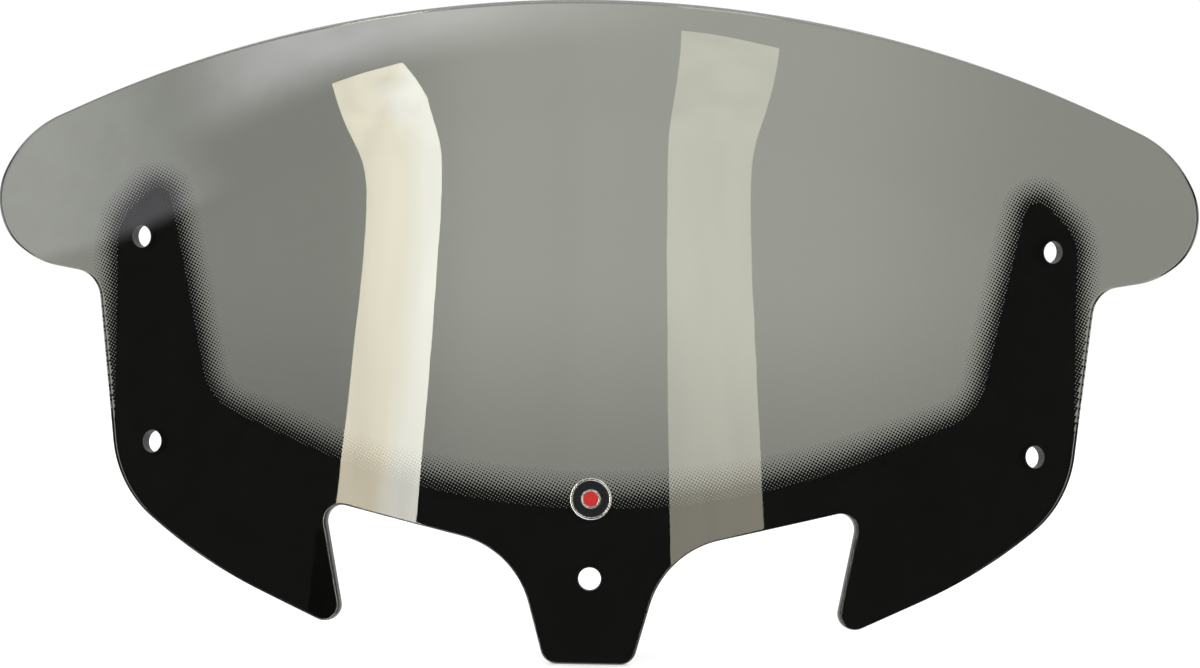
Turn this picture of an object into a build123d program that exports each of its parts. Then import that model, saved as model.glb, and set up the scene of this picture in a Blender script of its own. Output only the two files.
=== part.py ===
from build123d import *
import math
import os

os.makedirs("parts", exist_ok=True)

# ---------------------------------------------------------------------------
# Formed motorcycle windshield screen with a printed border and a small badge.
# Units mm.  Origin: axis of the bottom-centre mounting hole on the outer face.
# The outer (weather) face looks along -Y, +Y points to the rider, +Z runs up
# the mid-line and +X runs sideways, to the right seen from the front.
# Heights are above the bottom hole.  Corner places are those of the sharp
# corners, before they are rounded.
# ---------------------------------------------------------------------------

# ---- sheet -----------------------------------------------------------------
sheet_thickness = 4.76         # 3/16 in sheet
edge_round = 0.8               # polished round along both rims

# ---- trim line: top edge and wings -----------------------------------------
body_width = 513.0             # side to side at the neck, below the wings
wing_reach = 57.0              # how far a wing stands out past the neck
top_height = 280.0             # top edge on the mid-line
crown_corner = 137.0           # half length of the corner arc of the top edge
shoulder_inset = 15.5          # where the top edge turns down, from the tip
shoulder_height = 219.5
shoulder_radius = 61.0
tip_overrun = 9.5              # corner of the wing tip, outside the tip itself
tip_height = 176.0
tip_radius = 31.0
underside_inset = 23.0         # where the underside turns in, from the tip
underside_height = 152.5
underside_radius = 46.0

# ---- trim line: sides, lower edges, fangs and tab ---------------------------
neck_height = 146.5
neck_radius = 16.0
side_lean = 14.0               # how far a side leans in on the way down
side_corner_height = 38.0
side_corner_radius = 57.0
lower_bend_inset = 47.0        # bend of the long lower edge, from its corner
lower_bend_height = 2.5
lower_bend_radius = 275.0
fang_spacing = 241.0           # fang corner to fang corner
fang_drop = 29.5
fang_radius = 8.0
notch_width = 267.0            # both notches with the tab between them
notch_height = 35.5
notch_radius = 8.0
tab_shoulder_width = 74.0
tab_shoulder_height = 13.5
tab_shoulder_radius = 45.0
tab_width = 43.0
tab_drop = 41.5                # bottom edge of the tab below the hole
tab_radius = 8.0

# ---- mounting holes --------------------------------------------------------
hole_diameter = 11.11          # 7/16 in
upper_hole_inset = 24.5        # from the neck width
upper_hole_height = 165.5
lower_hole_inset = 33.0        # from the neck width
lower_hole_height = 61.5

# ---- formed surface --------------------------------------------------------
wrap_radius = 343.0            # sideways bend radius at the upper holes
wrap_taper = 0.37              # growth of that radius per mm of drop
wrap_taper_top = 173.0         # height where the growth starts
side_slope = 1.8               # slope the sideways bend runs out to
flare_depth = 10.6             # how far the rim flares forward
flare_start = 0.71             # share of the sheet left unflared
flare_base = 81.0              # height the upward flare is measured from
height_blend = 30.0            # how softly taper and flare set in, in height
flare_blend = 0.08             # the same for the flare, as a share
surface_step = 20.0            # spacing of the points the face is drawn through
surface_margin = 20.0          # how far the face runs past the sheet

# ---- printed border --------------------------------------------------------
print_thickness = 0.25         # ink film, thickened so that it can be handled
print_clearance = 0.02         # between the film and the sheet
print_hole_margin = 0.4        # bare ring left round each mounting hole
window_bottom = 34.0           # lower limit of the clear window, mid-line
window_floor = 75.0            # half length of the corner arc of that limit
window_floor_radius = 370.0
arm_foot_inset = 37.0          # inner side of a printed arm, from its hole
arm_foot_height = 83.0
arm_foot_radius = 30.0
arm_inner = 11.4               # inner top corner of the arm, from its hole
arm_inner_rise = 31.0          # and above it
arm_inner_radius = 7.5
arm_outer = 15.0               # outer side of the arm, from its hole
arm_outer_rise = 7.5           # where the sloping top of the arm meets that side
arm_outer_radius = 24.0
strip_end_inset = 10.0         # where the bare side strip runs out
strip_end_height = 66.0

# ---- badge -----------------------------------------------------------------
badge_height = 39.0
badge_diameter = 20.5
badge_thickness = 1.5
badge_rim = 1.3                # width of the raised rim
badge_recess = 0.6             # depth of the enamel recesses
badge_spot_diameter = 7.5      # coloured spot in the middle
badge_ring = 0.9               # raised ring round the spot
enamel_clearance = 0.03        # gap round each enamel fill
adhesive_thickness = 0.5       # on the mid-line; it fills the curve outwards
adhesive_inset = 0.8           # pad is this much smaller than the badge

# ---- derived ---------------------------------------------------------------
half_body = body_width / 2
half_width = half_body + wing_reach
hole_radius = hole_diameter / 2
upper_hole_x = half_body - upper_hole_inset
lower_hole_x = half_body - lower_hole_inset
beyond = 60.0                  # the window runs this far past the sheet
drill_length = 40.0
shortest_edge = 0.01           # arcs nearer to each other than this meet directly


def soft_positive(value, blend):
    """value where it is positive, fading smoothly to zero where it is not."""
    return (value + math.hypot(value, blend)) / 2


def outer_y(x, z):
    """Depth of the outer face behind the tab: sideways bend less rim flare."""
    radius = wrap_radius + wrap_taper * soft_positive(wrap_taper_top - z, height_blend)
    reach = radius * side_slope
    bend = reach * side_slope * math.log(math.cosh(x / reach))
    rise = soft_positive(z - flare_base, height_blend)
    spread = math.hypot(x / half_width, rise / (top_height - flare_base))
    flare = soft_positive(spread - flare_start, flare_blend) / (1 - flare_start)
    return bend - flare_depth * flare ** 2


def outer_normal(x, z):
    """Unit normal of the outer face, pointing away from the rider."""
    h = 0.5
    dx = (outer_y(x + h, z) - outer_y(x - h, z)) / (2 * h)
    dz = (outer_y(x, z + h) - outer_y(x, z - h)) / (2 * h)
    return Vector(dx, -1, dz).normalized()


def outer_surface():
    """The formed face, larger than the sheet on all sides."""
    columns = math.ceil((half_width + surface_margin) / surface_step)
    low = -math.ceil((tab_drop + surface_margin) / surface_step)
    high = math.ceil((top_height + surface_margin) / surface_step)
    rows = []
    for i in range(-columns, columns + 1):
        x = i * surface_step
        heights = [k * surface_step for k in range(low, high + 1)]
        rows.append([Vector(x, outer_y(x, z), z) for z in heights])
    return Face.make_surface_from_array_of_points(rows, tol=0.002, min_deg=3, max_deg=5)


def fitting_cuts(corners, ahead):
    """How far each corner's arc cuts into its sides, kept within the sides."""
    count = len(corners)
    cuts = []
    for i, (_, _, radius) in enumerate(corners):
        turn = math.radians(ahead[i - 1].get_angle(ahead[i]))
        cuts.append(radius * math.tan(turn / 2))
    shares = [1.0] * count
    for i in range(count):
        j = (i + 1) % count
        room = ahead[i].length
        if cuts[i] + cuts[j] > room:
            share = room / (cuts[i] + cuts[j])
            shares[i] = min(shares[i], share)
            shares[j] = min(shares[j], share)
    return [cut * share for cut, share in zip(cuts, shares)]


def rounded_outline(corners):
    """Closed outline through corners (x, z, radius), each one rounded."""
    count = len(corners)
    points = [Vector(x, z) for x, z, _ in corners]
    ahead = [points[(i + 1) % count] - points[i] for i in range(count)]
    cuts = fitting_cuts(corners, ahead)
    starts = [points[i] - ahead[i - 1].normalized() * cuts[i] for i in range(count)]
    ends = [points[i] + ahead[i].normalized() * cuts[i] for i in range(count)]
    edges = []
    for i in range(count):
        if cuts[i] > 0:
            edges.append(Edge.make_tangent_arc(starts[i], ahead[i - 1].normalized(), ends[i]))
        following = starts[(i + 1) % count]
        if (following - ends[i]).length > shortest_edge:
            edges.append(Edge.make_line(ends[i], following))
    return Face(Wire(edges))


def mirrored(half):
    """Right-hand corners followed by the same corners on the left."""
    return half + [(-x, z, r) for x, z, r in reversed(half)]


def crown_radius():
    """Radius that makes the top edge one arc across the mid-line."""
    run = half_width - shoulder_inset - crown_corner
    turn = math.atan2(top_height - shoulder_height, run)
    return crown_corner / math.tan(turn / 2)


def outline_face():
    """Trim line of the sheet in front view: arched top, wings, fangs, tab."""
    side_corner = half_body - side_lean
    half = [
        (crown_corner, top_height, crown_radius()),
        (half_width - shoulder_inset, shoulder_height, shoulder_radius),
        (half_width + tip_overrun, tip_height, tip_radius),
        (half_width - underside_inset, underside_height, underside_radius),
        (half_body, neck_height, neck_radius),
        (side_corner, side_corner_height, side_corner_radius),
        (side_corner - lower_bend_inset, lower_bend_height, lower_bend_radius),
        (fang_spacing / 2, -fang_drop, fang_radius),
        (notch_width / 2, notch_height, notch_radius),
        (tab_shoulder_width / 2, tab_shoulder_height, tab_shoulder_radius),
        (tab_width / 2, -tab_drop, tab_radius),
    ]
    return rounded_outline(mirrored(half))


def window_face():
    """Area without solid print, running out past the top and the wings."""
    arm_side = upper_hole_x + arm_outer
    far = half_width + beyond
    half = [
        (window_floor, window_bottom, window_floor_radius),
        (upper_hole_x - arm_foot_inset, arm_foot_height, arm_foot_radius),
        (upper_hole_x - arm_inner, upper_hole_height + arm_inner_rise, arm_inner_radius),
        (arm_side, upper_hole_height + arm_outer_rise, arm_outer_radius),
        (half_body - strip_end_inset, strip_end_height, 0.0),
        (far, strip_end_height, 0.0),
        (far, top_height + beyond, 0.0),
    ]
    return rounded_outline(mirrored(half))


def prism(face):
    """Stand a front-view area up in X-Z and run it through the whole depth."""
    upright = Rotation(90, 0, 0) * face
    return extrude(upright, amount=half_width, dir=(0, 1, 0), both=True)


def largest_faces(solid):
    """The outer and the rider's side of a formed slab, in that order."""
    big = solid.faces().sort_by(SortBy.AREA)[-2:]
    return sorted(big, key=lambda f: f.center(CenterOf.GEOMETRY).Y)


def drill(solid, radius):
    """Bore the five mounting holes square to the face."""
    pairs = [(upper_hole_x, upper_hole_height), (lower_hole_x, lower_hole_height)]
    places = [(0.0, 0.0)]
    for x, z in pairs:
        places += [(x, z), (-x, z)]
    for x, z in places:
        place = Plane(origin=(x, outer_y(x, z), z), z_dir=outer_normal(x, z))
        solid -= place * Cylinder(radius, drill_length)
    return solid


def formed_slab(surface, area, thickness):
    """Trim the formed face to a front-view area and give it thickness."""
    trimmed = (surface & prism(area)).faces()[0]
    return Solid.thicken(trimmed, thickness, normal_override=(0, 1, 0))


def make_screen(surface):
    """The clear sheet: formed, trimmed, edges polished, holes bored."""
    sheet = formed_slab(surface, outline_face(), sheet_thickness)
    rims = [face.outer_wire().edges() for face in largest_faces(sheet)]
    sheet = sheet.fillet(edge_round, [edge for rim in rims for edge in rim])
    return drill(sheet, hole_radius)


def make_border_print(surface):
    """Ink film on the rider's side, from the rim to the clear window."""
    area = offset(outline_face(), amount=-edge_round) - window_face()
    area = area.faces().sort_by(SortBy.AREA)[-1]
    slab = formed_slab(surface, area, sheet_thickness + print_clearance)
    rear = largest_faces(slab)[1]
    film = Solid.thicken(rear, print_thickness, normal_override=(0, 1, 0))
    return drill(film, hole_radius + print_hole_margin)


def disc(diameter, front, back):
    """Round plate on the badge axis between two depths, front first."""
    plane = Plane(origin=(0, back, badge_height), z_dir=(0, -1, 0))
    align = (Align.CENTER, Align.CENTER, Align.MIN)
    return plane * Cylinder(diameter / 2, back - front, align=align)


def make_badge(screen):
    """Adhesive pad, cast body, and the two enamel fills in its recesses."""
    back = -adhesive_thickness
    front = back - badge_thickness
    floor = front + badge_recess
    pad = disc(badge_diameter - 2 * adhesive_inset, back, sheet_thickness / 2) - screen
    pad = pad.solids().sort_by(Axis.Y)[0]
    field = badge_diameter - 2 * badge_rim
    ring = badge_spot_diameter + 2 * badge_ring
    body = disc(badge_diameter, front, back)
    body -= disc(field, front, floor) - disc(ring, front, floor)
    body -= disc(badge_spot_diameter, front, floor)
    gap = 2 * enamel_clearance
    fill = disc(field - gap, front, floor) - disc(ring + gap, front, floor)
    spot = disc(badge_spot_diameter - gap, front, floor)
    return pad, body, fill, spot


surface = outer_surface()
screen = make_screen(surface)
border_print = make_border_print(surface)
badge_adhesive, badge_body, badge_field, badge_spot = make_badge(screen)

export_step(screen, "parts/screen.step")
export_step(border_print, "parts/border_print.step")
export_step(badge_adhesive, "parts/badge_adhesive.step")
export_step(badge_body, "parts/badge_body.step")
export_step(badge_field, "parts/badge_field.step")
export_step(badge_spot, "parts/badge_spot.step")
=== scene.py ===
# %% [markdown]
# # A formed windshield screen
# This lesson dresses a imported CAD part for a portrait: one bent sheet of smoked
# polycarbonate, a black border printed on its back that fades into dots, and a
# small round badge.  The first cell loads the CAD part as a fixed frame, in
# metres, and keeps its box so that the finished looks can be compared with it.

# %% Load the frame
import math

import bmesh
import bpy
import numpy as np
from mathutils import Matrix, Vector
from mathutils.geometry import delaunay_2d_cdt


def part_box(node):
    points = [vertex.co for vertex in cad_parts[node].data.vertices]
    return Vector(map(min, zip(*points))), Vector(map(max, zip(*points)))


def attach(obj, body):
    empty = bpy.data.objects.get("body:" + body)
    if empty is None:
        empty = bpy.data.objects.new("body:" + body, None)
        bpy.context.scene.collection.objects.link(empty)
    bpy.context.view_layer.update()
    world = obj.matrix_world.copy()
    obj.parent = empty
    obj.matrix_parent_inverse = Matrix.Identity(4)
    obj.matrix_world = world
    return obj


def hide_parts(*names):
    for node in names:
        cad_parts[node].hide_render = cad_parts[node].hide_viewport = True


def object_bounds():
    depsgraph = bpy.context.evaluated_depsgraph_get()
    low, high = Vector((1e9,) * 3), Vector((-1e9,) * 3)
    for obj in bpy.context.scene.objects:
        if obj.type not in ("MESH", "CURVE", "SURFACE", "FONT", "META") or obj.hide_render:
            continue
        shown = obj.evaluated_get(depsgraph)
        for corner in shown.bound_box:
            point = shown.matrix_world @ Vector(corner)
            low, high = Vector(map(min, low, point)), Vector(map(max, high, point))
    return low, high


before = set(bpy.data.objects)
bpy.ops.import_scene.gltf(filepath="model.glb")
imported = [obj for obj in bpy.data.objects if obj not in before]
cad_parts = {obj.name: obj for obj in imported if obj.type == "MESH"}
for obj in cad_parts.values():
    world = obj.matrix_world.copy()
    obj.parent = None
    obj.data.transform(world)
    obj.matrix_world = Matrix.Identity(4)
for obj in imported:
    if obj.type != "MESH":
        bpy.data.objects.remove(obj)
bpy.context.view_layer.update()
MM = 0.001

# %% [markdown]
# ## The rule of the formed face
# A screen like this starts as a flat blank that is heated and draped over a
# tool.  Its outer face follows one rule: it wraps sideways round the rider, and
# its rim flares forward.  Any point (x, z) seen from the front therefore has
# one depth y.  The same values drive the Geometry Nodes tree further down, and
# this plain Python copy tells which way each hole is bored.

# %% Values of the rule
BODY, REACH, TOP = 256.5, 57.0, 280.0      # mm: half body, reach of a wing, top edge
WIDE = BODY + REACH
FORM = {                                   # metres, but for the taper and the slope
    "Half width": WIDE * MM,
    "Top height": TOP * MM,
    "Wrap radius": 0.343,
    "Wrap taper": 0.37,
    "Taper top": 0.173,
    "Side slope": 1.8,
    "Flare depth": 0.0106,
    "Flare start": 0.71,
    "Flare base": 0.081,
    "Height blend": 0.030,
    "Flare blend": 0.08,
}


def soft_positive(value, blend):
    return (value + math.hypot(value, blend)) / 2


def face_depth(x, z):
    f = FORM
    radius = f["Wrap radius"] + f["Wrap taper"] * soft_positive(
        f["Taper top"] - z, f["Height blend"])
    reach = radius * f["Side slope"]
    bend = reach * f["Side slope"] * math.log(math.cosh(x / reach))
    rise = soft_positive(z - f["Flare base"], f["Height blend"])
    spread = math.hypot(x / f["Half width"], rise / (f["Top height"] - f["Flare base"]))
    flare = soft_positive(spread - f["Flare start"], f["Flare blend"])
    return bend - f["Flare depth"] * (flare / (1 - f["Flare start"])) ** 2


def face_normal(x, z, h=0.0005):
    dx = (face_depth(x + h, z) - face_depth(x - h, z)) / (2 * h)
    dz = (face_depth(x, z + h) - face_depth(x, z - h)) / (2 * h)
    return Vector((dx, -1, dz)).normalized()


print("depth at a wing tip in mm:", round(face_depth(WIDE * MM, 0.185) / MM, 2))

# %% [markdown]
# ## Outlines from corners and radii
# A router cuts the blank along lines joined by arcs.  An outline is easiest to
# keep honest as a short list of sharp corners, each with the radius that rounds
# it; the arcs are then worked out.  Every point also gets the direction that
# looks out of the material, which later lets the edge be rounded over.

# %% Rounded outlines
ARC_STEP = 0.10                # radians between two points of an arc, at most
SAME_POINT = 0.02              # mm; nearer points are one point


def mirrored(half):
    return half + [(-x, z, r) for x, z, r in reversed(half)]


def swung(way, angle):
    """A flat direction, turned anticlockwise."""
    c, s = math.cos(angle), math.sin(angle)
    return np.array((way[0] * c - way[1] * s, way[0] * s + way[1] * c))


def fitted(cuts, lengths):
    """Shortens what the arcs cut off the sides, where two would overlap."""
    count = len(cuts)
    shares = [1.0] * count
    for i in range(count):
        j = (i + 1) % count
        if cuts[i] + cuts[j] > lengths[i]:
            share = lengths[i] / (cuts[i] + cuts[j])
            shares[i], shares[j] = min(shares[i], share), min(shares[j], share)
    return [c * s for c, s in zip(cuts, shares)]


def outline(corners, step=2.5):
    """A closed clockwise outline of (x, z, radius) corners and a step in mm.

    Gives its points in metres, and at each the direction that looks outwards.
    """
    points = [np.array(c[:2], float) for c in corners]
    count = len(points)
    sides = [points[(i + 1) % count] - points[i] for i in range(count)]
    lengths = [np.linalg.norm(s) for s in sides]
    ways = [s / n for s, n in zip(sides, lengths)]
    turns = [math.atan2(float(np.cross(ways[i - 1], ways[i])), float(ways[i - 1] @ ways[i]))
             for i in range(count)]
    cuts = fitted([c[2] * math.tan(abs(t) / 2) for c, t in zip(corners, turns)], lengths)
    places, outs = [], []
    for i, turn in enumerate(turns):
        way = ways[i - 1]
        left = np.array((-way[1], way[0]))
        radius = cuts[i] / math.tan(abs(turn) / 2) if cuts[i] > 0 else 0.0
        swing = left * math.copysign(1, turn) * radius
        start = points[i] - way * cuts[i]
        steps = max(1, math.ceil(abs(turn) / ARC_STEP), math.ceil(abs(turn) * radius / step))
        for k in range(steps + 1 if radius else 1):
            angle = turn * k / steps
            places.append(start + swing - swung(swing, angle))
            outs.append(swung(left, angle))
        end = points[i] + ways[i] * cuts[i]
        run = lengths[i] - cuts[i] - cuts[(i + 1) % count]
        stretches = max(1, math.ceil(run / step))
        for k in range(1, stretches):
            places.append(end + ways[i] * run * k / stretches)
            outs.append(np.array((-ways[i][1], ways[i][0])))
    places, outs = np.array(places), np.array(outs)
    keep = np.linalg.norm(places - np.roll(places, 1, axis=0), axis=1) > SAME_POINT
    return places[keep] * MM, outs[keep]


# %% [markdown]
# The rim of this screen is eleven corners and their mirror images.  The radius
# of the first one, on the crown, is worked out so that the arcs of the two
# halves meet on the mid-line.

# %% The rim
crown_turn = math.atan2(TOP - 219.5, WIDE - 15.5 - 137.0)
rim_line, rim_out = outline(mirrored([
    (137.0, TOP, 137.0 / math.tan(crown_turn / 2)), (WIDE - 15.5, 219.5, 61.0),
    (WIDE + 9.5, 176.0, 31.0), (WIDE - 23.0, 152.5, 46.0), (BODY, 146.5, 16.0),
    (BODY - 14.0, 38.0, 57.0), (BODY - 61.0, 2.5, 275.0), (120.5, -29.5, 8.0),
    (133.5, 35.5, 8.0), (37.0, 13.5, 45.0), (21.5, -41.5, 8.0)]))
print("rim points:", len(rim_line), " length in mm:",
      round(float(np.linalg.norm(rim_line - np.roll(rim_line, 1, axis=0), axis=1).sum()) / MM))

# %% [markdown]
# ## Mounting holes
# Five 11.11 mm holes take rubber well nuts.  They are bored square to the bent
# face, so seen from the front each one is a slightly narrowed circle.  Working
# each circle out in the plane that touches the face keeps it round once the
# blank is bent.

# %% Hole outlines
HOLE_RADIUS = 11.11 / 2
UPPER_HOLE, LOWER_HOLE = (BODY - 24.5, 165.5), (BODY - 33.0, 61.5)
HOLE_PLACES = [(0.0, 0.0)] + [(side * x, z) for x, z in (UPPER_HOLE, LOWER_HOLE)
                              for side in (1, -1)]


def hole_line(x, z, radius, count=48):
    """Circle round a hole axis, as it lies in the front view; outs look inwards."""
    n = face_normal(x * MM, z * MM)
    across = Vector((0, 0, 1)).cross(n).normalized()
    up = n.cross(across)
    angles = [2 * math.pi * k / count for k in range(count)]
    ring = [(across * math.cos(a) + up * math.sin(a)) for a in angles]
    line = np.array([(x + radius * v.x, z + radius * v.z) for v in ring]) * MM
    out = np.array([(-v.x, -v.z) for v in ring])
    return line, out / np.linalg.norm(out, axis=1)[:, None]


print("holes in mm:", HOLE_PLACES)

# %% [markdown]
# ## Filling an outline with even triangles
# A bent, glossy sheet shows every uneven triangle as a kink in its reflections.
# So the area inside the outlines is filled with a lattice of equal triangles,
# and a constrained Delaunay triangulation joins the lattice to the outline.

# %% Flat areas
SLIVER = 1e-10                 # square metres; smaller triangles are dropped
SAME_PLACE = 1e-7              # metres; nearer points are joined
CLEARANCE = 0.55               # of a step, between the lattice and an outline
BATCH = 2000                   # points whose distances are measured at a time


def inside(points, loop):
    """Which points lie inside a closed loop, by counting crossings."""
    hit = np.zeros(len(points), bool)
    a, b = loop, np.roll(loop, -1, axis=0)
    for (x0, z0), (x1, z1) in zip(a, b):
        if z0 == z1:
            continue
        spans = (points[:, 1] >= min(z0, z1)) & (points[:, 1] < max(z0, z1))
        cross = x0 + (points[:, 1] - z0) * (x1 - x0) / (z1 - z0)
        hit ^= spans & (points[:, 0] < cross)
    return hit


def between(loops):
    """A test for points inside the first loop and outside the others."""
    def keep(points):
        solid = inside(points, loops[0])
        for ring in loops[1:]:
            solid &= ~inside(points, ring)
        return solid
    return keep


def gap_to(points, loop):
    """Distance of each point to the nearest point of a finely stepped loop."""
    best = []
    for first in range(0, len(points), BATCH):
        part = points[first:first + BATCH]
        best.append(np.sqrt(((part[:, None, :] - loop[None]) ** 2).sum(2)).min(1))
    return np.concatenate(best)


def lattice(edge_points, keep, step):
    """Points of equal triangles where keep holds, clear of the outlines."""
    low, high = edge_points.min(0), edge_points.max(0)
    row = step * math.sqrt(3) / 2
    xs = np.arange(math.floor(low[0] / step), math.ceil(high[0] / step) + 1) * step
    rows = []
    for j in range(math.floor(low[1] / row), math.ceil(high[1] / row) + 1):
        shift = step / 2 if j % 2 else 0.0
        rows.append(np.stack([xs + shift, np.full(len(xs), j * row)], 1))
    points = np.concatenate(rows)
    points = points[keep(points)]
    return points[gap_to(points, edge_points) > CLEARANCE * step]


def filled(loops, keep, step=4.0 * MM):
    """Triangles between the loops where keep(points) holds; step 0 adds no lattice."""
    points, edges = [], []
    for loop in loops:
        base = len(points)
        points += [tuple(p) for p in loop]
        edges += [(base + k, base + (k + 1) % len(loop)) for k in range(len(loop))]
    if step:
        points += [tuple(p) for p in lattice(np.concatenate(loops), keep, step)]
    found = delaunay_2d_cdt([Vector(p) for p in points], edges, [], 0, SAME_PLACE)
    flat = np.array([tuple(v) for v in found[0]])
    faces = np.array(found[2])
    middles = flat[faces].mean(1)
    a, b, c = flat[faces[:, 0]], flat[faces[:, 1]], flat[faces[:, 2]]
    area = np.cross(b - a, c - a) / 2
    faces[area < 0] = faces[area < 0][:, ::-1]
    faces = faces[keep(middles) & (abs(area) > SLIVER)]
    used, faces = np.unique(faces, return_inverse=True)
    return flat[used], faces.reshape(-1, 3)


print("lattice points in a 20 mm square:",
      len(lattice(np.array([(0.0, 0.0), (0.02, 0.02)]), lambda p: p[:, 0] > -1, 4.0 * MM)))

# %% [markdown]
# ## The flat blank
# The blank is described as it would lie on a bench: X and Z are its place in
# the front view and Y is the depth into the sheet.  Its edge profile runs from
# the outer face, over a small polished round, down the wall, and over a second
# round to the rider's face.  A narrow flat strip beside each round keeps the
# shading of the wide faces clean.  Bending comes afterwards, all in one go.

# %% Blank with polished edges
SHEET = 4.76 * MM
EDGE_ROUND, EDGE_STEPS = 0.8 * MM, 4
BORE_CHAMFER = 0.06 * MM
SUPPORT = 0.25 * MM            # flat strip beside each rounded edge


def profile(round_size, thickness, steps):
    """(inset, depth) pairs from the outer face round the edge to the back."""
    arc = [math.pi / 2 * k / steps for k in range(steps + 1)]
    front = [(round_size * (1 - math.sin(a)), round_size * (1 - math.cos(a))) for a in arc]
    return front + [(inset, thickness - depth) for inset, depth in reversed(front)]


def blank_mesh(name, rims, thickness):
    """Closed slab; rims lists (line, outs, round size, steps), the outer rim first."""
    tops = [line - outs * (size + SUPPORT) for line, outs, size, _ in rims]
    flat, faces = filled(tops, between(tops))
    count = len(flat)
    verts = [(x, 0.0, z) for x, z in flat] + [(x, thickness, z) for x, z in flat]
    polys = [tuple(f) for f in faces] + [tuple(f[::-1] + count) for f in faces]
    bored = [False] * len(polys)
    for (line, outs, size, steps), top in zip(rims, tops):
        first = [int(np.argmin(((flat - p) ** 2).sum(1))) for p in top]
        rings = [first]
        for inset, depth in profile(size, thickness, steps):
            rings.append(list(range(len(verts), len(verts) + len(line))))
            verts += [(x, depth, z) for x, z in line - outs * inset]
        rings.append([k + count for k in first])
        for upper, lower in zip(rings, rings[1:]):
            for k in range(len(line)):
                n = (k + 1) % len(line)
                polys.append((upper[k], lower[k], lower[n], upper[n]))
        bored += [top is not tops[0]] * (len(polys) - len(bored))
    mesh = bpy.data.meshes.new(name)
    mesh.from_pydata(verts, [], polys)
    mesh.attributes.new("bored", "BOOLEAN", "FACE").data.foreach_set("value", bored)
    return mesh


def tidied(mesh):
    """Turns all faces outwards; returns the open edges and the volume in cm3."""
    bm = bmesh.new()
    bm.from_mesh(mesh)
    loose = sum(1 for e in bm.edges if len(e.link_faces) != 2)
    bmesh.ops.recalc_face_normals(bm, faces=bm.faces)
    volume = bm.calc_volume(signed=True)
    bm.to_mesh(mesh)
    bm.free()
    return loose, round(volume * 1e6, 2)


rims = [(rim_line, rim_out, EDGE_ROUND, EDGE_STEPS)]
rims += [(*hole_line(x, z, HOLE_RADIUS), BORE_CHAMFER, 1) for x, z in HOLE_PLACES]
blank = blank_mesh("sheet_blank", rims, SHEET)
print("blank:", len(blank.vertices), "points; open edges and cm3:", tidied(blank))

# %% [markdown]
# ## Arithmetic for node trees
# Materials, lights and shapes are all node trees here.  A small class turns
# Python arithmetic into Math nodes, which lets a tree be written down just like
# a formula, and one helper adds any node with its inputs filled in.

# %% Arithmetic for node trees
class Field:
    """A value inside a node tree; arithmetic on it adds Math nodes."""

    def __init__(self, tree, socket):
        self.tree, self.socket = tree, socket

    def use(self, kind, other=None):
        node = self.tree.nodes.new("ShaderNodeMath")
        node.operation = kind
        self.tree.links.new(self.socket, node.inputs[0])
        if isinstance(other, Field):
            self.tree.links.new(other.socket, node.inputs[1])
        elif other is not None:
            node.inputs[1].default_value = other
        return Field(self.tree, node.outputs[0])

    def __add__(self, other):
        return self.use("ADD", other)

    def __sub__(self, other):
        return self.use("SUBTRACT", other)

    def __mul__(self, other):
        return self.use("MULTIPLY", other)

    def __truediv__(self, other):
        return self.use("DIVIDE", other)

    def __rsub__(self, number):
        return self * -1.0 + number


def add(tree, kind, inner=None, **sockets):
    """A new node; each socket gets a number, a Field or another socket."""
    node = tree.nodes.new(kind)
    if inner:
        node.node_tree = inner
    for label, value in sockets.items():
        socket = node.inputs[label.replace("_", " ")]
        if isinstance(value, Field):
            tree.links.new(value.socket, socket)
        elif isinstance(value, bpy.types.NodeSocket):
            tree.links.new(value, socket)
        else:
            socket.default_value = value
    return node


# %% [markdown]
# ## Finishes
# Smoked polycarbonate is a clear plastic with a light refraction of 1.58 and a
# grey-green tint.  The Principled shader's transmission gives exactly that.
# Real sheet isn't perfect: a hard coat leaves faint waves, and cleaning leaves
# hairlines, so a little noise drives the roughness and the bump.

# %% Material helpers
def finish(name, base, **sockets):
    """A Principled material; the tree comes back too, for its patterns."""
    mat = bpy.data.materials.new(name)
    mat.use_nodes = True
    shader = mat.node_tree.nodes["Principled BSDF"]
    shader.inputs["Base Color"].default_value = (*base, 1)
    for label, value in sockets.items():
        shader.inputs[label.replace("_", " ")].default_value = value
    return mat, mat.node_tree, shader


def noise(tree, scale, detail=2.0, stretch=(1, 1, 1)):
    """A noise pattern fixed to the object, scale in repeats per metre."""
    place = add(tree, "ShaderNodeTexCoord")
    mapping = add(tree, "ShaderNodeMapping", Scale=stretch, Vector=place.outputs["Object"])
    pattern = add(tree, "ShaderNodeTexNoise", Scale=scale, Detail=detail,
                  Vector=mapping.outputs["Vector"])
    return pattern.outputs["Fac"]


def ranged(tree, value, low, high, start=0.35, end=0.65):
    """Maps start to end of a value onto low to high."""
    node = add(tree, "ShaderNodeMapRange", Value=value, From_Min=start, From_Max=end,
               To_Min=low, To_Max=high)
    return node.outputs["Result"]


def bump(tree, shader, height, distance):
    node = add(tree, "ShaderNodeBump", Strength=1.0, Distance=distance, Height=height)
    tree.links.new(node.outputs["Normal"], shader.inputs["Normal"])


def textured(name, base, rough, relief, stretch=(1, 1, 1), **sockets):
    """A finish with uneven gloss and a fine relief.

    rough is (scale, detail, low, high) and relief is (scale, detail, height).
    """
    mat, tree, shader = finish(name, base, **sockets)
    scale, detail, low, high = rough
    tree.links.new(ranged(tree, noise(tree, scale, detail, stretch), low, high),
                   shader.inputs["Roughness"])
    scale, detail, height = relief
    bump(tree, shader, noise(tree, scale, detail), height)
    return mat
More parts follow.
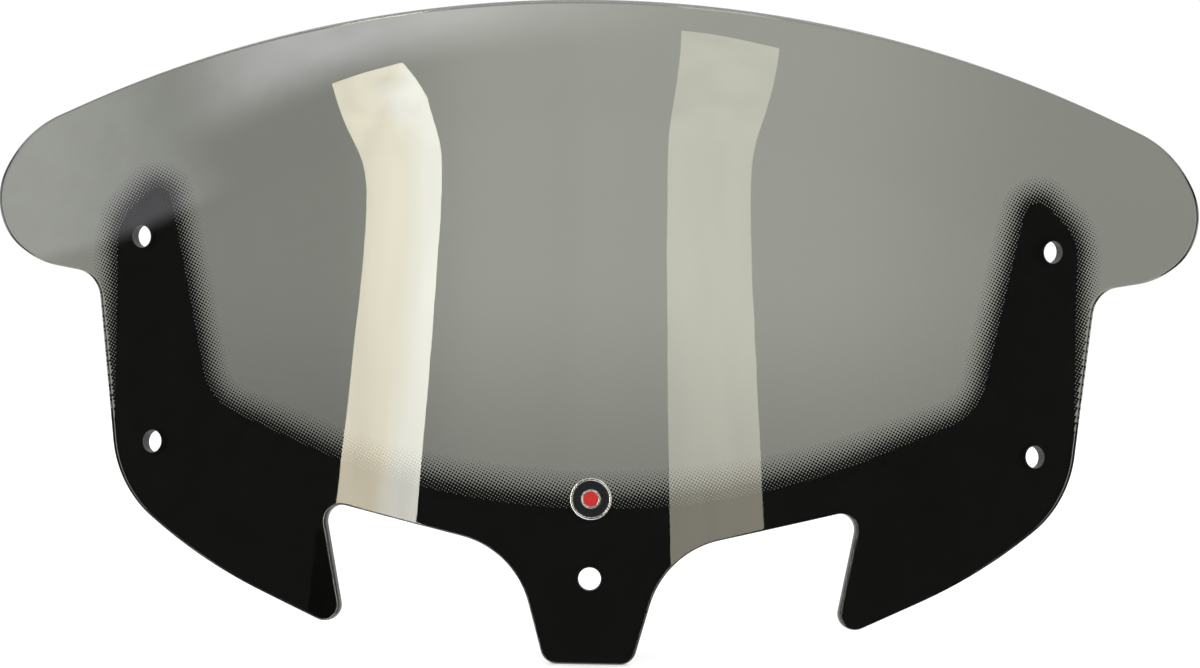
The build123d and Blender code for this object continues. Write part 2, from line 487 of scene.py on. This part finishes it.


# %% [markdown]
# The sheet's own tint is light: light crosses both faces, and the base colour
# is what remains after the two.  The drilled holes aren't polished, so their
# walls get a rough finish; their near black colour is painted shade.

# %% Smoked sheet
smoked, tree, shader = finish("smoked_polycarbonate", (0.337, 0.347, 0.305), IOR=1.58,
                              Transmission_Weight=1.0, Coat_Weight=0.15, Coat_Roughness=0.02)
smears = Field(tree, ranged(tree, noise(tree, 14, 3, (1, 1, 0.5)), 0.004, 0.022))
hairs = Field(tree, ranged(tree, noise(tree, 240, 2, (1, 1, 0.04)), 0.0, 0.010, 0.6, 0.75))
tree.links.new((smears + hairs).socket, shader.inputs["Roughness"])
bump(tree, shader, noise(tree, 22, 1), 0.06 * MM)
# The bore's near black base colour is painted shade; only its roughness and relief are the
# drilled finish.
bore_painted_shade = textured("drilled_bore", (0.035, 0.036, 0.034), (2200, 2, 0.42, 0.68),
                (4000, 1, 0.03 * MM), (1, 1, 0.2))
print("sheet finishes:", smoked.name, bore_painted_shade.name)

# %% [markdown]
# ## Printed ink
# The border is screen-printed on the rider's side, so from the front it is seen
# through the sheet, deep black and as glossy as the sheet itself.  From behind
# it is a satin film with a fine, slightly uneven surface.

# %% Ink
ink = textured("black_screen_ink", (0.0045, 0.0045, 0.005), (60, 4, 0.30, 0.46),
               (1800, 2, 0.012 * MM), Specular_IOR_Level=0.22)
print("ink:", ink.name)

# %% [markdown]
# ## Badge finishes
# The badge is a small plated casting filled with enamel and stuck on with foam
# tape.  Plating is a metal with soft polishing marks; enamel is a glossy paint
# that pools slightly; foam is rough and full of pores.

# %% Plating, enamel and foam
plating = textured("plated_metal", (0.86, 0.86, 0.85), (900, 4, 0.14, 0.30),
                   (2600, 2, 0.010 * MM), Metallic=1.0)
black_enamel, red_enamel = [
    textured(name, colour, (700, 3, 0.10, 0.22), (500, 1, 0.02 * MM), Coat_Weight=0.6,
             Coat_Roughness=0.05)
    for name, colour in (("black_enamel", (0.008, 0.008, 0.010)),
                         ("red_enamel", (0.36, 0.016, 0.014)))]
foam = textured("foam_tape", (0.022, 0.022, 0.024), (1500, 3, 0.75, 0.95),
                (3000, 3, 0.08 * MM))
print("finishes:", [m.name for m in bpy.data.materials][-5:])

# %% [markdown]
# ## Bending the blank with Geometry Nodes
# The main piece follows a rule, so Geometry Nodes bend it.  Every value of the
# rule becomes a named input of the trees, with the value above as its default.

# %% Empty trees
def new_tree(name, inputs, outputs):
    """An empty tree with named sockets; returns it, its inputs and its output."""
    tree = bpy.data.node_groups.new(name, "GeometryNodeTree")
    for label, kind, value in inputs:
        socket = tree.interface.new_socket(label, in_out="INPUT", socket_type="NodeSocket" + kind)
        if value is not None:
            socket.default_value = value
    for label, kind in outputs:
        tree.interface.new_socket(label, in_out="OUTPUT", socket_type="NodeSocket" + kind)
    given = tree.nodes.new("NodeGroupInput")
    fields = {s.name: Field(tree, s) for s in given.outputs if s.name}
    return tree, fields, tree.nodes.new("NodeGroupOutput")


FORM_INPUTS = [(label, "Float", value) for label, value in FORM.items()]


def rule_values(fields):
    """The values of the rule, passed on from one tree to another."""
    return {label: fields[label] for label in FORM}


print("inputs of the rule:", len(FORM_INPUTS))

# %% [markdown]
# ## The depth of the face as a tree
# This tree answers one question: how far back is the face at (x, z)?  It is the
# rule again, node by node, and it is built once so that other trees can ask it
# as often as they need.

# %% The depth of the face as a tree
depth_tree, v, result = new_tree("face_depth", [("X", "Float", 0.0), ("Z", "Float", 0.0)]
                                 + FORM_INPUTS, [("Depth", "Float")])


def soft_field(value, blend):
    return (value + (value * value + blend * blend).use("SQRT")) * 0.5


radius = v["Wrap radius"] + v["Wrap taper"] * soft_field(
    v["Taper top"] - v["Z"], v["Height blend"])
reach = radius * v["Side slope"]
bend = reach * v["Side slope"] * (v["X"] / reach).use("COSH").use("LOGARITHM", math.e)
across = v["X"] / v["Half width"]
rise = soft_field(v["Z"] - v["Flare base"], v["Height blend"])
rise = rise / (v["Top height"] - v["Flare base"])
spread = (across * across + rise * rise).use("SQRT")
flare = soft_field(spread - v["Flare start"], v["Flare blend"]) / (1.0 - v["Flare start"])
depth = bend - v["Flare depth"] * flare * flare
depth_tree.links.new(depth.socket, result.inputs["Depth"])
print("face_depth tree:", len(depth_tree.nodes), "nodes")

# %% [markdown]
# The bending tree asks for the depth at a point and half a millimetre to each
# side of it.  The differences give the slope, and from that the direction
# square to the face, along which the thickness of the sheet is laid.

# %% The bending tree
PROBE = 0.5 * MM
bend_tree, v, result = new_tree(
    "bend_blank", [("Geometry", "Geometry", None), ("Probe", "Float", PROBE)] + FORM_INPUTS,
    [("Geometry", "Geometry")])
place = add(bend_tree, "GeometryNodeInputPosition")
parts = add(bend_tree, "ShaderNodeSeparateXYZ", Vector=place.outputs[0])
x, deep, z = (Field(bend_tree, s) for s in parts.outputs)


def depth_at(px, pz):
    node = add(bend_tree, "GeometryNodeGroup", depth_tree, X=px, Z=pz, **rule_values(v))
    return Field(bend_tree, node.outputs["Depth"])


probe = v["Probe"]
slope_x = (depth_at(x + probe, z) - depth_at(x - probe, z)) / (probe * 2.0)
slope_z = (depth_at(x, z + probe) - depth_at(x, z - probe)) / (probe * 2.0)
long = (slope_x * slope_x + slope_z * slope_z + 1.0).use("SQRT")
inward = deep / long
joined = add(bend_tree, "ShaderNodeCombineXYZ", X=x - slope_x * inward,
             Y=depth_at(x, z) + inward, Z=z - slope_z * inward)
move = add(bend_tree, "GeometryNodeSetPosition", Geometry=v["Geometry"],
           Position=joined.outputs[0])
bend_tree.links.new(move.outputs[0], result.inputs["Geometry"])
print("bend_blank tree:", len(bend_tree.nodes), "nodes")

# %% [markdown]
# ## From a flat mesh to a finished piece
# Each formed piece runs through the bending step, then its sharp edges are
# marked, so that a wide curved face stays smooth and a cut edge stays crisp.
# The last nodes make plain geometry and give it its finish.  The walls of the
# bored holes carry a face attribute, which picks their own finish.

# %% Trees that finish a piece
CRISP_ANGLE = math.radians(35)


def bent(tree, fields, geometry):
    """Adds the bending step to another tree, fed from that tree's inputs."""
    node = add(tree, "GeometryNodeGroup", bend_tree, Geometry=geometry, Probe=PROBE,
               **rule_values(fields))
    return node.outputs["Geometry"]


def dressed(tree, fields, geometry, smooth):
    """Adds shading, Realize Instances and Set Material; returns the geometry."""
    shade = add(tree, "GeometryNodeSetShadeSmooth", Geometry=geometry, Shade_Smooth=smooth)
    edges = add(tree, "GeometryNodeInputMeshEdgeAngle")
    sharp = Field(tree, edges.outputs["Unsigned Angle"]).use("GREATER_THAN", CRISP_ANGLE)
    crisp = add(tree, "GeometryNodeSetShadeSmooth", Geometry=shade.outputs[0],
                Selection=sharp, Shade_Smooth=False)
    crisp.domain = "EDGE"
    real = add(tree, "GeometryNodeRealizeInstances", Geometry=crisp.outputs[0])
    dress = add(tree, "GeometryNodeSetMaterial", Geometry=real.outputs[0],
                Material=fields["Material"])
    return dress.outputs[0]


form_tree, v, result = new_tree(
    "formed_piece", [("Geometry", "Geometry", None), ("Material", "Material", None),
                     ("Bore material", "Material", None)] + FORM_INPUTS,
    [("Geometry", "Geometry")])
is_bored = add(form_tree, "GeometryNodeInputNamedAttribute", Name="bored")
is_bored.data_type = "BOOLEAN"
line_bore = add(form_tree, "GeometryNodeSetMaterial",
                Geometry=dressed(form_tree, v, bent(form_tree, v, v["Geometry"]), True),
                Selection=is_bored.outputs["Attribute"], Material=v["Bore material"])
form_tree.links.new(line_bore.outputs[0], result.inputs["Geometry"])
print("formed_piece tree:", len(form_tree.nodes), "nodes")

# %% [markdown]
# ## The sheet
# The blank goes through the tree once, and the result is kept as a plain mesh.
# The difference between its box and the box of the CAD node shows that the
# tree and the CAD part agree.

# %% Bend the sheet
def placed(name, data):
    """A new object at the origin of the scene."""
    thing = bpy.data.objects.new(name, data)
    bpy.context.scene.collection.objects.link(thing)
    return thing


def made(name, mesh, tree, **values):
    """Runs a tree on a mesh and keeps the outcome as a plain object."""
    piece = placed(name, mesh)
    shaping = piece.modifiers.new("shaping", "NODES")
    shaping.node_group = tree
    for item in tree.interface.items_tree:
        label = item.name.replace(" ", "_")
        if item.in_out == "INPUT" and label in values:
            shaping[item.identifier] = values[label]
    ready = piece.evaluated_get(bpy.context.evaluated_depsgraph_get())
    plain = bpy.data.meshes.new_from_object(ready)
    piece.modifiers.remove(shaping)
    piece.data = plain
    plain.name = name
    return piece


sheet = made("formed_sheet", blank, form_tree, Material=smoked, Bore_material=bore_painted_shade)
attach(sheet, "root")
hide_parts("screen")
low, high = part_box("screen")
mine = np.array([v.co for v in sheet.data.vertices])
print("sheet box against the CAD box in mm:", np.round((mine.min(0) - np.array(low)) / MM, 2),
      np.round((mine.max(0) - np.array(high)) / MM, 2))

# %% [markdown]
# ## The printed border
# The ink covers everything between the rim and a clear window.  Its limit is
# again a list of corners with radii.  The film starts a hair inside the sheet,
# because real ink grips the surface and leaves no air gap to mirror the lights.

# %% Solid part of the print
INK_RIM_GAP, INK_HOLE_GAP = 0.35, 0.1      # mm left bare beside the rim and the holes
INK_FRONT, INK_BACK = SHEET - 0.03 * MM, SHEET + 0.25 * MM
ARM_X, ARM_Z = UPPER_HOLE
FAR, SHOULDER = WIDE + 60.0, 66.0          # mm: past the rim; where an arm leaves the rim
window_line, window_out = outline(mirrored([
    (75.0, 34.0, 370.0), (ARM_X - 37.0, 83.0, 30.0), (ARM_X - 11.4, ARM_Z + 31.0, 7.5),
    (ARM_X + 15.0, ARM_Z + 7.5, 24.0), (BODY - 10.0, SHOULDER, 0.0), (FAR, SHOULDER, 0.0),
    (FAR, TOP + 60.0, 0.0)]), 1.5)


def boundary(faces):
    """Directed edges that only one triangle has."""
    ways = {(int(f[k]), int(f[(k + 1) % 3])) for f in faces for k in range(3)}
    return [(a, b) for a, b in ways if (b, a) not in ways]


def film_mesh(name, flat, faces, front, back):
    """A closed film between two depths."""
    count = len(flat)
    verts = [(x, front, z) for x, z in flat] + [(x, back, z) for x, z in flat]
    polys = [tuple(f) for f in faces] + [tuple(f[::-1] + count) for f in faces]
    polys += [(b, a, a + count, b + count) for a, b in boundary(faces)]
    mesh = bpy.data.meshes.new(name)
    mesh.from_pydata(verts, [], polys)
    return mesh


ink_loops = [rim_line - rim_out * INK_RIM_GAP * MM, window_line]
ink_loops += [hole_line(x, z, HOLE_RADIUS + INK_HOLE_GAP)[0] for x, z in HOLE_PLACES]
flat, faces = filled(ink_loops, between(ink_loops))
film = film_mesh("print_flat", flat, faces, INK_FRONT, INK_BACK)
print("print:", len(film.vertices), "points; open edges and cm3:", tidied(film))
border = made("printed_border", film, form_tree, Material=ink)
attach(border, "root")
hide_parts("border_print")

# %% [markdown]
# ## The fade of dots
# Past its limit the print thins out into a square lattice of dots, turned by a
# bit under 28 degrees as printers do.  Dots repeat by the thousand and follow a
# surface, so Geometry Nodes place them: a lattice point stays if a ray from it
# meets the clear window, its distance to the solid ink sets the size of its
# dot, and the same bending step lays all dots on the back of the sheet.

# %% Clear window and its inked edge
OVERLAP = 1.0 * MM             # the first dots lie this far under the solid ink
DOT_RIM_GAP = 0.80 * MM        # dots start this far from the rim
clear_rim = rim_line - rim_out * DOT_RIM_GAP
dot_limit = window_line - window_out * OVERLAP
flat, faces = filled([clear_rim, dot_limit],
                     lambda p: inside(p, clear_rim) & inside(p, dot_limit), 0)
window = bpy.data.meshes.new("clear_window")
window.from_pydata([(x, 0.0, z) for x, z in flat], [], [tuple(f) for f in faces])
outer = set(tuple(sorted(e)) for e in boundary(faces))
off_rim = rim_line - rim_out * (DOT_RIM_GAP + 0.2 * MM)
inked = []
for edge in window.edges:
    a, b = edge.vertices
    middle = (flat[a] + flat[b])[None] / 2
    inked.append(tuple(sorted((a, b))) in outer and bool(inside(middle, off_rim)[0]))
window.attributes.new("inked", "BOOLEAN", "EDGE").data.foreach_set("value", inked)
print("inked edge pieces:", sum(inked))

# %% [markdown]
# The dots follow a lattice of points on an upright plane.  A ray fired back
# from each point tells whether it lies in the window, and the distance to the
# marked edge sets the size of the dot, so the fade follows any outline.

# %% The dot tree
DOT_SIDES = 8
LATTICE_MIDDLE = 0.12          # metres above the bottom hole
RAY_START, RAY_LENGTH = -0.01, 0.02
MIDDLE_END, SIDE_START = 0.05, 0.18    # metres from the mid-line, where the fade changes
dot_tree, v, result = new_tree("fade_dots", [
    ("Geometry", "Geometry", None), ("Material", "Material", None), ("Rows", "Int", 460),
    ("Pitch", "Float", 1.455 * MM), ("Turn", "Float", math.radians(27.6)),
    ("Fade middle", "Float", 18.5 * MM), ("Fade side", "Float", 13.5 * MM),
    ("Largest", "Float", 0.745), ("Smallest", "Float", 0.14), ("Sides", "Int", DOT_SIDES),
    ("Overlap", "Float", OVERLAP),
    ("Dot middle", "Float", SHEET + 0.01 * MM), ("Dot height", "Float", 0.08 * MM)]
    + FORM_INPUTS, [("Geometry", "Geometry")])


def node(kind, **sockets):
    return add(dot_tree, kind, **sockets)


span = v["Pitch"] * (v["Rows"] - 1.0)
turn = node("ShaderNodeCombineXYZ", X=math.pi / 2, Y=v["Turn"])
grid = node("GeometryNodeMeshGrid", Size_X=span, Size_Y=span, Vertices_X=v["Rows"],
            Vertices_Y=v["Rows"])
upright = node("GeometryNodeTransform", Geometry=grid.outputs["Mesh"], Rotation=turn.outputs[0],
               Translation=(0, 0, LATTICE_MIDDLE))
points = node("GeometryNodeMeshToPoints", Mesh=upright.outputs[0])
spot = node("GeometryNodeInputPosition")
ahead = node("ShaderNodeVectorMath")
dot_tree.links.new(spot.outputs[0], ahead.inputs[0])
ahead.inputs[1].default_value = (0, RAY_START, 0)
ray = node("GeometryNodeRaycast", Target_Geometry=v["Geometry"],
           Source_Position=ahead.outputs[0], Ray_Length=RAY_LENGTH, Ray_Direction=(0, 1, 0))
missed = node("FunctionNodeBooleanMath")
missed.operation = "NOT"
dot_tree.links.new(ray.outputs["Is Hit"], missed.inputs[0])
in_window = node("GeometryNodeDeleteGeometry", Geometry=points.outputs[0],
                 Selection=missed.outputs[0])
is_inked = node("GeometryNodeInputNamedAttribute", Name="inked")
is_inked.data_type = "BOOLEAN"
edge = node("GeometryNodeSeparateGeometry", Geometry=v["Geometry"],
            Selection=is_inked.outputs["Attribute"])
edge.domain = "EDGE"
near = node("GeometryNodeProximity")
near.target_element = "EDGES"
dot_tree.links.new(edge.outputs["Selection"], near.inputs[0])
sides = node("ShaderNodeSeparateXYZ", Vector=spot.outputs[0])
off_middle = Field(dot_tree, sides.outputs["X"]).use("ABSOLUTE")
blend = node("ShaderNodeMapRange", Value=off_middle, From_Min=MIDDLE_END, From_Max=SIDE_START,
             To_Min=v["Fade middle"], To_Max=v["Fade side"])
distance = Field(dot_tree, near.outputs["Distance"]) - v["Overlap"]
share = distance / Field(dot_tree, blend.outputs[0])
faded = node("GeometryNodeDeleteGeometry", Geometry=in_window.outputs[0],
             Selection=share.use("GREATER_THAN", 1.0))
size = v["Pitch"] * (v["Largest"] - (v["Largest"] - v["Smallest"]) * share)
drum = node("GeometryNodeMeshCylinder", Vertices=v["Sides"], Radius=1.0, Depth=1.0)
drum.fill_type = "NGON"
flat_drum = node("GeometryNodeTransform", Geometry=drum.outputs["Mesh"],
                 Rotation=(math.pi / 2, 0, 0))
scale = node("ShaderNodeCombineXYZ", X=size, Y=v["Dot height"], Z=size)
lift = node("ShaderNodeCombineXYZ", Y=v["Dot middle"])
raised = node("GeometryNodeSetPosition", Geometry=faded.outputs[0], Offset=lift.outputs[0])
dots = node("GeometryNodeInstanceOnPoints", Points=raised.outputs[0],
            Instance=flat_drum.outputs[0], Scale=scale.outputs[0])
loose = node("GeometryNodeRealizeInstances", Geometry=dots.outputs[0])
closed = dressed(dot_tree, v, bent(dot_tree, v, loose.outputs[0]), False)
dot_tree.links.new(closed, result.inputs["Geometry"])
fade = made("fade_dots", window, dot_tree, Material=ink)
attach(fade, "root")
print("dots:", len(fade.data.polygons) // (DOT_SIDES + 2), " triangles:",
      sum(len(p.vertices) - 2 for p in fade.data.polygons))

# %% [markdown]
# ## The badge
# A turned shape is a closed profile spun round an axis.  The plated body has a
# rounded rim and a ring round its middle; enamel fills the hollows and is a
# touch higher between its edges, as poured enamel is.

# %% Turned badge pieces
BADGE_Z, BADGE_BACK, BADGE_FRONT = 39.0, -0.5, -2.0    # mm, like the next three lines
RECESS = BADGE_FRONT + 0.6
SPOT_EDGE, RING_EDGE, FIELD_EDGE, BADGE_EDGE = 3.75, 4.65, 8.95, 10.25
ENAMEL_GAP, ENAMEL_DIP = 0.03, 0.12
AXIS = 1e-7                    # metres; nearer points lie on the badge axis


def turned(name, corners, material, node_name, count=96):
    """Spins a closed (radius, depth, round) profile round the badge axis."""
    line, _ = outline(corners, 0.25)
    verts, polys, rings = [], [], []
    for r, y in line:
        if r < AXIS:
            rings.append([len(verts)] * count)
            verts.append((0.0, y, BADGE_Z * MM))
            continue
        rings.append(list(range(len(verts), len(verts) + count)))
        for k in range(count):
            a = 2 * math.pi * k / count
            verts.append((r * math.cos(a), y, BADGE_Z * MM + r * math.sin(a)))
    for one, two in zip(rings, rings[1:] + rings[:1]):
        for k in range(count):
            n = (k + 1) % count
            corner = list(dict.fromkeys((one[k], one[n], two[n], two[k])))
            if len(corner) > 2:
                polys.append(corner)
    mesh = bpy.data.meshes.new(name)
    mesh.from_pydata(verts, [], polys)
    state = tidied(mesh)
    mesh.polygons.foreach_set("use_smooth", [True] * len(mesh.polygons))
    mesh.materials.append(material)
    piece = placed(name, mesh)
    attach(piece, "root")
    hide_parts(node_name)
    print(name, "open edges and cm3:", state)


turned("badge_casting", [
    (0, BADGE_BACK, 0), (0, RECESS, 0), (SPOT_EDGE, RECESS, 0.05),
    (SPOT_EDGE, BADGE_FRONT, 0.25), (RING_EDGE, BADGE_FRONT, 0.25), (RING_EDGE, RECESS, 0.05),
    (FIELD_EDGE, RECESS, 0.05), (FIELD_EDGE, BADGE_FRONT, 0.35),
    (BADGE_EDGE, BADGE_FRONT, 0.55), (BADGE_EDGE, BADGE_BACK, 0.15)],
    plating, "badge_body")
inner, outer = RING_EDGE + ENAMEL_GAP, FIELD_EDGE - ENAMEL_GAP
turned("badge_enamel_field", [
    (inner, RECESS, 0), (inner, BADGE_FRONT + ENAMEL_DIP, 0.05),
    ((inner + outer) / 2, BADGE_FRONT + 0.02, 9.0),
    (outer, BADGE_FRONT + ENAMEL_DIP, 0.05), (outer, RECESS, 0)],
    black_enamel, "badge_field")
turned("badge_enamel_spot", [
    (0, RECESS, 0), (0, BADGE_FRONT, 0), (1.6, BADGE_FRONT, 5.0),
    (SPOT_EDGE - ENAMEL_GAP, BADGE_FRONT + 0.15, 0.05), (SPOT_EDGE - ENAMEL_GAP, RECESS, 0)],
    red_enamel, "badge_spot")
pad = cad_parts["badge_adhesive"]
pad.material_slots[0].link = "OBJECT"
pad.material_slots[0].material = foam

# %% [markdown]
# ## Studio
# A product like this is shown on plain white paper.  The floor is a pale
# disc just under the tab.  It is hidden from mirror rays and from rays that
# pass through the sheet, so that neither the gloss nor the smoke shows a line
# where the paper would end.

# %% Floor
FLOOR_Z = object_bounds()[0].z - 0.2 * MM
FLOOR_RADIUS, FLOOR_SIDES = 14.0, 64
angles = [2 * math.pi * k / FLOOR_SIDES for k in range(FLOOR_SIDES)]
disc = bpy.data.meshes.new("studio_floor")
disc.from_pydata([(FLOOR_RADIUS * math.cos(a), FLOOR_RADIUS * math.sin(a), FLOOR_Z)
                  for a in angles], [], [tuple(range(FLOOR_SIDES))])
floor = placed("studio_floor", disc)
paper, _, _ = finish("pale_paper", (0.95, 0.95, 0.95), Roughness=0.9)
disc.materials.append(paper)
floor.visible_glossy = False
floor.visible_transmission = False
print("floor height in mm:", round(FLOOR_Z / MM, 1))

# %% [markdown]
# ## Lights
# The sheet is a mirror as much as a window, so the lights are shaped by what
# they do in it.  Two tall panels left and right of the viewer give two long
# streaks, and the left one turns from warm to near white across its width.  A
# pale card low under the viewer, brighter towards the left, lightens the lip
# that flares forward along the top edge, and a fainter one far left lifts the
# wing.  Each is a flat upright mesh that glows, so its outline can have any
# shape.  A small black flag stands close to the sheet and keeps one corner of
# the ink free of glare.

# %% Light panels
PANEL_Y, LOW_CARD_Y, LEFT_CARD_Y, FLAG_Y = -2.0, -2.1, -2.2, -0.30


def soft_step(tree, value, start, end, low=0.0, high=1.0):
    """A smooth change from low to high while the value goes from start to end."""
    socket = ranged(tree, value, low, high, start, end)
    socket.node.interpolation_type = "SMOOTHSTEP"
    return Field(tree, socket)


def glow(name, radiance, colour, fade, second):
    """The material of a light panel; panel explains its values."""
    mat = bpy.data.materials.new(name)
    mat.use_nodes = True
    tree = mat.node_tree
    tree.nodes.clear()
    place = add(tree, "ShaderNodeTexCoord")
    parts = add(tree, "ShaderNodeSeparateXYZ", Vector=place.outputs["Object"])
    level = Field(tree, ranged(tree, noise(tree, 3.0, 2), 0.90, 1.07))
    for axis, dark, bright in fade:
        level = level * soft_step(tree, parts.outputs[axis], dark, bright)
    lamp = add(tree, "ShaderNodeEmission", Color=(*colour, 1), Strength=level * radiance)
    surface = lamp
    if second:
        other, start, end = second
        sway = Field(tree, noise(tree, 2.0, 1)) * 0.8 - 0.4 + Field(tree, parts.outputs["X"])
        mix = add(tree, "ShaderNodeMix", Factor=ranged(tree, sway, 0.0, 1.0, start, end))
        mix.data_type = "RGBA"
        for socket, value in ((mix.inputs[6], colour), (mix.inputs[7], other)):
            socket.default_value = (*value, 1)
        tree.links.new(mix.outputs[2], lamp.inputs["Color"])
    if fade:
        sheer = add(tree, "ShaderNodeBsdfTransparent")
        surface = add(tree, "ShaderNodeAddShader")
        tree.links.new(lamp.outputs[0], surface.inputs[0])
        tree.links.new(sheer.outputs[0], surface.inputs[1])
    add(tree, "ShaderNodeOutputMaterial", Surface=surface.outputs[0])
    return mat


def panel(name, corners, y, radiance, colour, fade=(), second=None):
    """A glowing upright area that only lights and mirrors see.

    fade lists (axis, dark end, bright end) in metres, and second is (colour,
    start, end), a colour that takes over along X.
    """
    mesh = bpy.data.meshes.new(name)
    mesh.from_pydata([(x, y, z) for x, z in corners], [], [tuple(range(len(corners)))])
    mesh.materials.append(glow(name, radiance, colour, fade, second))
    box = placed(name, mesh)
    box.visible_camera = False
    box.visible_transmission = False
    box.visible_shadow = False
    return box


def upright_card(left, right, low, high):
    return [(left, high), (left, low), (right, low), (right, high)]


panel("left_strip", [(-1.82, 1.4), (-1.82, -0.60), (-1.26, -0.60), (-1.19, -0.38),
                     (-1.14, -0.15), (-1.14, 1.4)], PANEL_Y, 10.0, (0.93, 0.85, 0.65),
      second=((1.05, 1.03, 0.93), -1.46, -1.26))
panel("right_strip", upright_card(0.46, 1.08, -0.79, 1.5), PANEL_Y, 3.6, (1.0, 0.95, 0.78))
panel("low_card", [(-5.0, 0.0), (-5.0, -2.6), (1.6, -2.6), (1.6, -0.50), (-1.9, -0.50)],
      LOW_CARD_Y, 4.2, (0.95, 0.94, 1.0),
      [("X", 0.8, -1.9), ("Z", -0.50, -1.15), ("X", -3.9, -2.0)])
panel("left_card", upright_card(-9.0, -2.8, -2.6, 0.05), LEFT_CARD_Y, 1.15, (0.95, 0.95, 1.0),
      [("Z", 0.03, -0.22), ("X", -3.3, -4.3)])
flag = panel("flag", upright_card(-0.43, -0.36, -0.10, 0.012), FLAG_Y, 0.0, (0, 0, 0))
flag.visible_diffuse = False

# %% [markdown]
# ## Room
# The world answers each kind of ray in its own way.  The viewer and the paper
# see plain white.  Rays that passed through the sheet see white paper that
# dims towards the sides and downwards.  Mirror rays see a dark room towards the
# viewer and a pale one elsewhere, which gives the polished edges their thin
# light line.

# %% World shader
PAPER_SEEN, FILL, DIM_ROOM = 1.04, 1.5, 0.055
world = bpy.data.worlds.new("studio_room")
bpy.context.scene.world = world
world.use_nodes = True
tree = world.node_tree
tree.nodes.clear()
paths = add(tree, "ShaderNodeLightPath")
direction = add(tree, "ShaderNodeTexCoord")
split = add(tree, "ShaderNodeSeparateXYZ", Vector=direction.outputs["Generated"])
dx, dy, dz = (Field(tree, s) for s in split.outputs)
to_left = soft_step(tree, dx, -0.095, -0.04, 0.64, 1.0)
to_right = soft_step(tree, dx, 0.05, 0.14, 1.0, 0.76)
far_left = soft_step(tree, dx, -0.18, -0.14, 1.25, 1.0)
horizon = soft_step(tree, dz, -0.05, 0.03, 0.64, 1.0)
far_down = soft_step(tree, dz, -0.35, -0.10, 1.35, 1.0)
backlight = to_left * to_right * far_left * (horizon * far_down)
behind = soft_step(tree, dy, -0.25, 0.05, 0.0, 0.9)
overhead = soft_step(tree, dz.use("ABSOLUTE"), 0.60, 0.85, 0.0, 0.8)
mirror = behind + overhead + DIM_ROOM
seen = Field(tree, paths.outputs["Is Camera Ray"])
glossy = Field(tree, paths.outputs["Is Glossy Ray"])
through = Field(tree, paths.outputs["Is Transmission Ray"])
rest = (1.0 - glossy) * (1.0 - through) * (1.0 - seen)
strength = seen * PAPER_SEEN + rest * FILL + through * backlight
strength = strength + glossy * (1.0 - through) * mirror
sky = add(tree, "ShaderNodeBackground", Color=(1, 1, 1, 1), Strength=strength)
add(tree, "ShaderNodeOutputWorld", Surface=sky.outputs[0])
print("world nodes:", len(tree.nodes))

# %% [markdown]
# ## Camera
# The camera stands in front, a little below the middle of the sheet, slightly
# turned and tilted, with a long lens so that the sheet keeps its shape.

# %% Camera
SENSOR, FOCAL = 36.0, 98.56                          # mm
PLACE = (0.01598, -1.6, 0.107)                       # metres
YAW, PITCH, ROLL = -0.0081306, 0.0077068, 0.0179299  # radians
lens = bpy.data.cameras.new("portrait_camera")
camera = placed("portrait_camera", lens)
bpy.context.scene.camera = camera
lens.sensor_width, lens.lens = SENSOR, FOCAL
lens.clip_start, lens.clip_end = 0.05, 60
look = Vector((math.sin(YAW) * math.cos(PITCH), math.cos(YAW) * math.cos(PITCH),
               math.sin(PITCH)))
right = look.cross(Vector((0, 0, 1))).normalized()
up = right.cross(look)
rolled_right = right * math.cos(ROLL) + up * math.sin(ROLL)
rolled_up = up * math.cos(ROLL) - right * math.sin(ROLL)
turn = Matrix((rolled_right, rolled_up, -look)).transposed()
camera.matrix_world = Matrix.Translation(PLACE) @ turn.to_4x4()
bpy.context.scene.view_settings.view_transform = "Standard"
bpy.context.scene.view_settings.look = "None"
